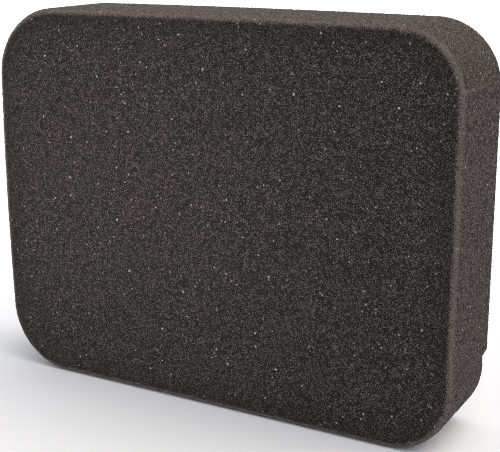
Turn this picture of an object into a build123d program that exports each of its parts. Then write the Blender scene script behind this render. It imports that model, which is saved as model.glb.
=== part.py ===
from build123d import *
import os

# Foam air filter element: one block of open-cell foam, cut from a sheet, standing on a long edge.
# Millimetres, +Z up. X runs along the width, Y through the thickness, and -Y is the side that the
# air enters. The origin is at the middle of the underside.

width = 150.0
height = 115.0
thickness = 30.0
corner_radius = 18.0  # the four corners of the outline
rim_radius = 1.5  # the soft rounding all round each face, where the foam was cut

os.makedirs("parts", exist_ok=True)

rear_face = Plane.XZ.offset(-thickness / 2)

with BuildPart() as foam_element:
    with BuildSketch(rear_face):
        with Locations((0, height / 2)):
            RectangleRounded(width, height, corner_radius)
    extrude(amount=thickness)
    flat_faces = foam_element.faces().filter_by(Axis.Y)
    fillet(flat_faces.edges(), rim_radius)

foam_element.part.label = "foam_element"
export_step(foam_element.part, "parts/foam_element.step")
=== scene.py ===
import math
import random

import bmesh
import bpy
from mathutils import Matrix, Vector


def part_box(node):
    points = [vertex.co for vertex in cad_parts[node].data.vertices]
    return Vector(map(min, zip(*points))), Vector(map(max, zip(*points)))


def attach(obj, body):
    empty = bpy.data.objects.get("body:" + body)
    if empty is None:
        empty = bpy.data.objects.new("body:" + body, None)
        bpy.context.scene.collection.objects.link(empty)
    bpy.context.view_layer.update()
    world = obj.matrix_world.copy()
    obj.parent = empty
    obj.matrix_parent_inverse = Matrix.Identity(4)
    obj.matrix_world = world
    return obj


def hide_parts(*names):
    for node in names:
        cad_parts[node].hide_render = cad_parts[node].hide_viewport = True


# Foam air filter element: a block of open-cell polyurethane foam, cut from a sheet and standing on a
# long edge. Everything is in metres. The block is one piece, and its skin is the real open-cell
# surface: a net of struts round pits, cell by cell.

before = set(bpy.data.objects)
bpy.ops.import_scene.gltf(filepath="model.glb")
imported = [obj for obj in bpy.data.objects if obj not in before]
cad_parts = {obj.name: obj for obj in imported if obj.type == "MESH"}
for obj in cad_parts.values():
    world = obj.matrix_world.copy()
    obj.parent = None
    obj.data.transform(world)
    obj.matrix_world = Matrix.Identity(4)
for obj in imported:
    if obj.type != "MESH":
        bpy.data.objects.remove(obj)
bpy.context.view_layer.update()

MM = 0.001

# The block, beyond what its box says. Soft foam isn't cut quite true: no two corners match, the left
# end bellies out and the top is a little crowned. The corners go by the side they are on: right or
# not, top or not.
CORNER_RADIUS = {
    (True, True): 18.3 * MM,
    (False, True): 20.5 * MM,
    (False, False): 19.4 * MM,
    (True, False): 18.7 * MM,
}
BLANK_CORNER_RADIUS = 18 * MM
BLANK_CORNER_SEGMENTS = 16
RIM_RADIUS = 2.0 * MM
LEFT_BELLY = 1.4 * MM
TOP_CROWN = 0.5 * MM

# A faint pale line crosses the right end, where the knife went from the straight to the corner. It
# fades out towards the rear face.
KNIFE_MARK_HEIGHT = 99.3 * MM
KNIFE_MARK_WIDTH = 0.45 * MM

# At the lower right corner the knife went in again. The corner is cut deeper than the straight end,
# with a ledge between them that is deepest at the rear, and the cut left a nick half way across.
# The reach is how far in from the outline the faces give way to it.
LEDGE_HEIGHT = 23 * MM
LEDGE_SLOPE = 2.4 * MM
LEDGE_DEPTH = 1.5 * MM
LEDGE_REACH = 8 * MM
NICK_HEIGHT = 8.5 * MM
NICK_LENGTH = 7 * MM
NICK_WIDTH = 1.8 * MM
NICK_DEPTH = 1.3 * MM

# On the two faces the struts are darker in a band just inside the rim.
DULL_BAND_WIDTH = 7 * MM

# The foam: 30 pores to the inch, or a cell every 0.85 mm. The knife takes most cells off their middle,
# so the cut shows an opening about every 0.7 mm. Each corner of the net makes three openings.
# The net starts on a regular pitch, is shaken along the surface, and is then evened out in rounds.
NET_PITCH = 1.17 * MM
NET_SHAKE = 0.5 * NET_PITCH
NET_ROUNDS = 3
SMOOTHING = 0.5
CORNER_CUT_PERCENT = 100 / 3
STRUT_WIDTH = 0.10 * MM
WIDEST_STRUT_SHARE = 0.5
STRUT_UNEVENNESS = 0.19 * MM
PIT_DEPTH = 0.42 * MM
PIT_RADIUS = 0.34 * MM

# How the openings differ. Where the knife cut through a crossing of struts, its end stands up and
# carries a painted highlight, paler the higher it stands. Few stand high, so a power makes most of them
# low, and each is drawn away from the level of the ones round it, so that they don't gather in blotches.
# The cut lies at the standing level.
EVENING = 0.3
STANDING_POWER = 2.5
STANDING_LEVEL = 0.7

# Each pit's depth is between these shares of the usual one, and more in a wide pit, up to the largest
# share. It is less on the rim and along the knife's mark, where the foam was pressed.
PIT_SINK = (0.3, 1.2)
LARGEST_PIT = 1.4
RIM_PRESSING = 0.6
KNIFE_PRESSING = 0.5

# Some pits are still closed by a thin film of foam, more or less whole, and its colour is a painted glint.
# Most of these glints are faint.
FILM_SHARE = 0.012
FILM_RISE = 0.05 * MM
FAINTEST_FILM_GLINT = 0.15
FILM_GLINT_SPREAD = 0.65
FILM_GLINT_POWER = 3

# How pale the struts are by where they lie: the sides of the block get a painted sheen and painted relief
# contrast for the light they catch edge on, the rim gets a painted highlight, the knife's mark was pressed
# together and is pale, and the faces just inside the rim are darker.
SIDE_PAINTED_SHEEN = 0.05
SIDE_PAINTED_RELIEF = 0.35
RIM_PAINTED_HIGHLIGHT = 0.6
KNIFE_MARK_TONE = 0.7
DULLING = 0.4

# The painted shade in a pit is at its darkest from this depth on.
FULL_PIT_SHADE_SINK = 0.5

# The Mix node's two colour sockets and its colour output. Their names are shared with its number
# sockets, so they go by their places.
MIX_FIRST, MIX_SECOND, MIX_RESULT = 6, 7, 2

low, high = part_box("foam_element")
middle = (low + high) / 2
half = (high - low) / 2
rng = random.Random(7)


def linear(hex_colour):
    """An sRGB hex colour as linear red, green, blue and alpha."""
    parts = [int(hex_colour[i : i + 2], 16) / 255 for i in (1, 3, 5)]
    return (*[p / 12.92 if p <= 0.04045 else ((p + 0.055) / 1.055) ** 2.4 for p in parts], 1.0)


def add_node(tree, kind, settings=None, **links):
    """Adds one node. settings are its properties, or its inputs by name or number. links feed its
    inputs by name, with _ for a space."""
    node = tree.nodes.new(kind)
    for name, value in (settings or {}).items():
        if isinstance(name, int) or name in node.inputs:
            node.inputs[name].default_value = value
        else:
            setattr(node, name, value)
    for name, source in links.items():
        tree.links.new(source, node.inputs[name.replace("_", " ")])
    return node


# ------------------------------------------------------------------ shape


def outline_at(point):
    """How far outside the block's outline a point lies (less than nothing inside it), and the x and z
    of the outward direction there."""
    x, _, z = point - middle
    radius = CORNER_RADIUS[x > 0, z > 0]
    flat_x, flat_z = half.x - radius, half.z - radius
    corner = Vector((max(abs(x) - flat_x, 0.0), max(abs(z) - flat_z, 0.0)))
    if corner.length > 0:
        outside = corner.length - radius
        out_x, out_z = corner.normalized()
    elif flat_x - abs(x) < flat_z - abs(z):
        outside, out_x, out_z = abs(x) - half.x, 1.0, 0.0
    else:
        outside, out_x, out_z = abs(z) - half.z, 0.0, 1.0
    return outside, math.copysign(out_x, x), math.copysign(out_z, z)


def block_surface(point):
    """The nearest point of the cut block's surface, and the outward direction there."""
    outside, out_x, out_z = outline_at(point)
    y = point.y - middle.y
    side, face = outside + RIM_RADIUS, abs(y) - half.y + RIM_RADIUS
    if side > 0 and face > 0:
        away = math.hypot(side, face)
        out = Vector((out_x * side / away, math.copysign(face / away, y), out_z * side / away))
        return point - out * (away - RIM_RADIUS), out
    if side > face:
        out = Vector((out_x, 0.0, out_z))
        return point - out * outside, out
    out = Vector((0.0, math.copysign(1.0, y), 0.0))
    return point - out * (abs(y) - half.y), out


def rim_share(out):
    """One along the middle of a face's rounded rim, and nothing on the flat."""
    return 2 * abs(out.y) * math.sqrt(max(0.0, 1 - out.y**2))


def knife_mark(point, out):
    """One along the middle of the knife's mark at the front, and nothing away from it."""
    on_right_end = out.x > 0.6
    off = abs(point.z - low.z - KNIFE_MARK_HEIGHT) / KNIFE_MARK_WIDTH
    fading = (high.y - point.y) / (high.y - low.y)
    return max(0.0, 1 - off) * fading if on_right_end else 0.0


def dull_band(point, out):
    """One on a face where its rim ends, falling to nothing inside, and nothing off the faces."""
    on_a_face = abs(out.y) > 0.99
    inside = -outline_at(point)[0] - RIM_RADIUS
    return abs(out.y) * max(0.0, 1 - inside / DULL_BAND_WIDTH) if on_a_face else 0.0


def recut(point):
    """How much deeper the lower right corner is cut at a point."""
    height = point.z - low.z
    if point.x < middle.x or height > LEDGE_HEIGHT:
        return 0.0
    inside = max(0.0, -outline_at(point)[0])
    near_the_cut = max(0.0, 1 - inside / LEDGE_REACH)
    towards_the_rear = (point.y - low.y) / (high.y - low.y)
    ledge = min(1.0, (LEDGE_HEIGHT - height) / LEDGE_SLOPE) * height / LEDGE_HEIGHT
    nick = max(0.0, 1 - abs(height - NICK_HEIGHT) / NICK_LENGTH)
    nick *= max(0.0, 1 - abs(point.y - middle.y) / NICK_WIDTH)
    return near_the_cut * (LEDGE_DEPTH * ledge * towards_the_rear + NICK_DEPTH * nick)


def rounded_blank():
    """A plain block with rounded corners, to lay the net over."""
    bm = bmesh.new()
    box = Matrix.Translation(middle) @ Matrix.Diagonal((*(2 * half), 1))
    bmesh.ops.create_cube(bm, size=1, matrix=box)
    long_edges = [e for e in bm.edges if abs(e.verts[0].co.y - e.verts[1].co.y) > half.y]
    bmesh.ops.bevel(
        bm, geom=long_edges, offset=BLANK_CORNER_RADIUS, affect="EDGES",
        segments=BLANK_CORNER_SEGMENTS, profile=0.5, material=-1,
    )
    blank = bpy.data.meshes.new("blank")
    bm.to_mesh(blank)
    bm.free()
    return blank


def even_net():
    """The block's surface as an even but irregular net of triangles."""
    holder = bpy.data.objects.new("blank", rounded_blank())
    bpy.context.scene.collection.objects.link(holder)
    remesh = holder.modifiers.new("even_net", "REMESH")
    remesh.mode = "VOXEL"
    remesh.voxel_size = NET_PITCH
    net = bpy.data.meshes.new_from_object(holder.evaluated_get(bpy.context.evaluated_depsgraph_get()))
    bpy.data.objects.remove(holder)
    bm = bmesh.new()
    bm.from_mesh(net)
    bmesh.ops.triangulate(bm, faces=bm.faces[:])
    for v in bm.verts:
        shake = Vector([rng.uniform(-1, 1) for _ in range(3)]) * NET_SHAKE
        v.co += shake - v.normal * shake.dot(v.normal)
    for _ in range(NET_ROUNDS):
        bmesh.ops.beautify_fill(bm, faces=bm.faces[:], edges=bm.edges[:], method="AREA")
        bmesh.ops.smooth_vert(
            bm, verts=bm.verts[:], factor=SMOOTHING, use_axis_x=True, use_axis_y=True, use_axis_z=True
        )
        for v in bm.verts:
            v.co = block_surface(v.co)[0]
    bmesh.ops.beautify_fill(bm, faces=bm.faces[:], edges=bm.edges[:], method="AREA")
    return bm


def raise_struts(bm):
    """Gives every crossing of struts its height over the cut, and its tone with painted highlights and
    sheen.
    """
    tone = bm.verts.layers.float.new("strut_tone_and_highlights")
    levels = [rng.random() for _ in bm.verts]
    bm.verts.index_update()
    for v in bm.verts:
        place, out = block_surface(v.co)
        nearby = [levels[e.other_vert(v).index] for e in v.link_edges]
        level = levels[v.index] - EVENING * (sum(nearby) / len(nearby) - 0.5)
        level = min(1.0, max(0.0, level)) ** STANDING_POWER
        v.co = place + out * (level - STANDING_LEVEL) * STRUT_UNEVENNESS
        # Away from the two faces the struts get a painted sheen and stronger painted relief contrast.
        side_share = 1 - abs(out.y)
        # The pale standing ends are a painted highlight, paler the higher they stand.
        standing_end_highlight = level * (1 + SIDE_PAINTED_RELIEF * side_share) * (1 - DULLING * dull_band(place, out))
        v[tone] = (
            standing_end_highlight
            + SIDE_PAINTED_SHEEN * side_share
            # A painted highlight along the rounded rim.
            + RIM_PAINTED_HIGHLIGHT * rim_share(out)
            + KNIFE_MARK_TONE * knife_mark(place, out)
        )


def sink_pits(bm, cells):
    """Sinks the middle of every cell inside its rim of struts, or closes it with a film."""
    depth = bm.verts.layers.float.new("pore_depth")
    film_glint = bm.verts.layers.float.new("film_glint")
    film_glint_hue = bm.verts.layers.float.new("film_glint_hue")
    bmesh.ops.inset_individual(bm, faces=cells, thickness=0, use_even_offset=False)
    for cell in cells:
        centre = cell.calc_center_median()
        share = STRUT_WIDTH / 2 / math.sqrt(cell.calc_area() / math.pi)
        for v in cell.verts:
            v.co = v.co.lerp(centre, min(share, WIDEST_STRUT_SHARE))
    pits = bmesh.ops.poke(bm, faces=cells, offset=0, center_mode="MEAN")["verts"]
    for v in pits:
        radius = sum((e.other_vert(v).co - v.co).length for e in v.link_edges) / len(v.link_edges)
        out = block_surface(v.co)[1]
        if rng.random() < FILM_SHARE:
            v.co += out * FILM_RISE
            # The film's brightness and hue are a painted glint.
            v[film_glint] = FAINTEST_FILM_GLINT + FILM_GLINT_SPREAD * rng.random() ** FILM_GLINT_POWER
            v[film_glint_hue] = rng.random()
            continue
        sink = rng.uniform(*PIT_SINK) * (1 - RIM_PRESSING * rim_share(out))
        sink *= 1 - KNIFE_PRESSING * knife_mark(v.co, out)
        v.co -= out * sink * PIT_DEPTH * min(radius / PIT_RADIUS, LARGEST_PIT)
        # The sink also sets how much painted shade the pit gets.
        v[depth] = sink


def foam_element():
    """The block with its open cells. Cutting every corner of the net a third of the way along its
    edges turns each corner and each triangle into a many-sided opening. Each keeps a rim of struts,
    and its middle is sunk."""
    bm = even_net()
    bmesh.ops.bevel(
        bm, geom=bm.verts[:], offset=CORNER_CUT_PERCENT, offset_type="PERCENT", affect="VERTICES",
        segments=1, profile=0.5, material=-1,
    )
    raise_struts(bm)
    sink_pits(bm, bm.faces[:])
    for v in bm.verts:
        _, out_x, out_z = outline_at(v.co)
        v.co -= Vector((out_x, 0.0, out_z)) * recut(v.co)
        across = (v.co.x - middle.x) / half.x
        up = (v.co.z - middle.z) / half.z
        v.co.x -= LEFT_BELLY * max(0.0, 1 - up**2) * max(0.0, -across)
        v.co.z += TOP_CROWN * max(0.0, 1 - across**2) * max(0.0, up)
    for f in bm.faces:
        f.smooth = True
    mesh = bpy.data.meshes.new("foam_cells")
    bm.to_mesh(mesh)
    bm.free()
    piece = bpy.data.objects.new("foam_block", mesh)
    bpy.context.scene.collection.objects.link(piece)
    return piece


# ---------------------------------------------------------------- finish


def reticulated_foam():
    """Black-dyed polyurethane foam with its cell walls burnt away, sliced dry with a band knife. The
    struts are soft plastic, so they hardly shine. A strut end that stands up is a paler, warm grey speck
    of painted highlight, the uncut ones are nearly black, the pits between them are darkened further with
    painted shade, and a film left over a pit carries a small painted glint, yellowish or bluish."""
    material = bpy.data.materials.new("reticulated_polyurethane_foam_sliced")
    material.use_nodes = True
    tree = material.node_tree
    tree.nodes.clear()
    strut = add_node(tree, "ShaderNodeAttribute", {"attribute_name": "strut_tone_and_highlights"})
    strut_tone_and_highlights = add_node(
        tree,
        "ShaderNodeMix",
        {"data_type": "RGBA", MIX_FIRST: linear("#161413"), MIX_SECOND: linear("#59524f")},
        Factor=strut.outputs["Fac"],
    )
    # Painted shade: a pit is darkened by how deep it is sunk.
    depth = add_node(tree, "ShaderNodeAttribute", {"attribute_name": "pore_depth"})
    shade = add_node(
        tree,
        "ShaderNodeMapRange",
        {"interpolation_type": "SMOOTHSTEP", "From Min": 0.0, "From Max": FULL_PIT_SHADE_SINK},
        Value=depth.outputs["Fac"],
    )
    painted_pit_shade = add_node(
        tree,
        "ShaderNodeMix",
        {"data_type": "RGBA", MIX_SECOND: linear("#0c0b0b")},
        Factor=shade.outputs["Result"],
    )
    tree.links.new(strut_tone_and_highlights.outputs[MIX_RESULT], painted_pit_shade.inputs[MIX_FIRST])
    # Painted glints on the films, yellowish or bluish.
    hue = add_node(tree, "ShaderNodeAttribute", {"attribute_name": "film_glint_hue"})
    film_glint_colour = add_node(
        tree,
        "ShaderNodeMix",
        {"data_type": "RGBA", MIX_FIRST: linear("#cfccbc"), MIX_SECOND: linear("#b9c3d2")},
        Factor=hue.outputs["Fac"],
    )
    film_glint = add_node(tree, "ShaderNodeAttribute", {"attribute_name": "film_glint"})
    with_film_glints = add_node(tree, "ShaderNodeMix", {"data_type": "RGBA"}, Factor=film_glint.outputs["Fac"])
    tree.links.new(painted_pit_shade.outputs[MIX_RESULT], with_film_glints.inputs[MIX_FIRST])
    tree.links.new(film_glint_colour.outputs[MIX_RESULT], with_film_glints.inputs[MIX_SECOND])
    foam = add_node(
        tree,
        "ShaderNodeBsdfPrincipled",
        {"Roughness": 0.75, "IOR": 1.5, "Specular IOR Level": 0.2},
        Base_Color=with_film_glints.outputs[MIX_RESULT],
    )
    add_node(tree, "ShaderNodeOutputMaterial", Surface=foam.outputs["BSDF"])
    return material


def pale_floor():
    """A wide, plain sheet of matt white board."""
    bm = bmesh.new()
    bmesh.ops.create_grid(bm, size=4.0)
    mesh = bpy.data.meshes.new("floor")
    bm.to_mesh(mesh)
    bm.free()
    floor = bpy.data.objects.new("floor", mesh)
    bpy.context.scene.collection.objects.link(floor)
    paint = bpy.data.materials.new("matt_white_board")
    paint.use_nodes = True
    board = paint.node_tree.nodes["Principled BSDF"]
    board.inputs["Base Color"].default_value = linear("#d2d6dd")
    board.inputs["Roughness"].default_value = 0.9
    mesh.materials.append(paint)


def aimed_light(light, place, aim):
    """Hangs a light at a place, pointing along a direction."""
    holder = bpy.data.objects.new(light.name, light)
    holder.location = place
    holder.rotation_euler = aim.to_track_quat("-Z", "Y").to_euler()
    bpy.context.scene.collection.objects.link(holder)


def studio():
    """A white room, a big soft light overhead to the right, and a small gridded softbox that lifts
    the left and the middle of the front face."""
    scene = bpy.context.scene
    scene.view_settings.view_transform = "Standard"
    scene.cycles.filter_width = 0.9
    world = bpy.data.worlds.new("white_room")
    scene.world = world
    world.use_nodes = True
    world.node_tree.nodes["Background"].inputs["Color"].default_value = linear("#ffffff")
    world.node_tree.nodes["Background"].inputs["Strength"].default_value = 1.0
    scrim = bpy.data.lights.new("big_overhead_scrim", "SUN")
    scrim.energy = 2.55
    scrim.angle = math.radians(60)
    scrim.color = linear("#fff0e0")[:3]
    aimed_light(scrim, Vector((0.0, 0.0, 0.0)), Vector((-0.45, -0.12, -0.88)))
    softbox = bpy.data.lights.new("gridded_softbox", "AREA")
    softbox.size = 0.12
    softbox.spread = math.radians(24)
    softbox.energy = 0.056
    softbox.color = linear("#fff4ec")[:3]
    place = Vector((-0.25, -0.42, -0.04))
    left_of_centre = Vector((-0.03, -0.015, -0.016))
    aimed_light(softbox, middle + place, left_of_centre - place)


def camera():
    """A short telephoto, a little above the top of the block, turned to its right end."""
    data = bpy.data.cameras.new("camera")
    data.sensor_width = 36
    data.lens = 81.504
    eye = bpy.data.objects.new("camera", data)
    place = Matrix.Translation(middle + Vector((0.1678, -0.2795, 0.0822)))
    turn = Matrix.Rotation(math.radians(30.162), 4, "Z")
    tip = Matrix.Rotation(math.radians(90 - 15.019), 4, "X")
    roll = Matrix.Rotation(math.radians(-0.176), 4, "Z")
    eye.matrix_world = place @ turn @ tip @ roll
    bpy.context.scene.collection.objects.link(eye)
    bpy.context.scene.camera = eye


foam = foam_element()
foam.data.materials.append(reticulated_foam())
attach(foam, "root")
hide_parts("foam_element")
pale_floor()
studio()
camera()
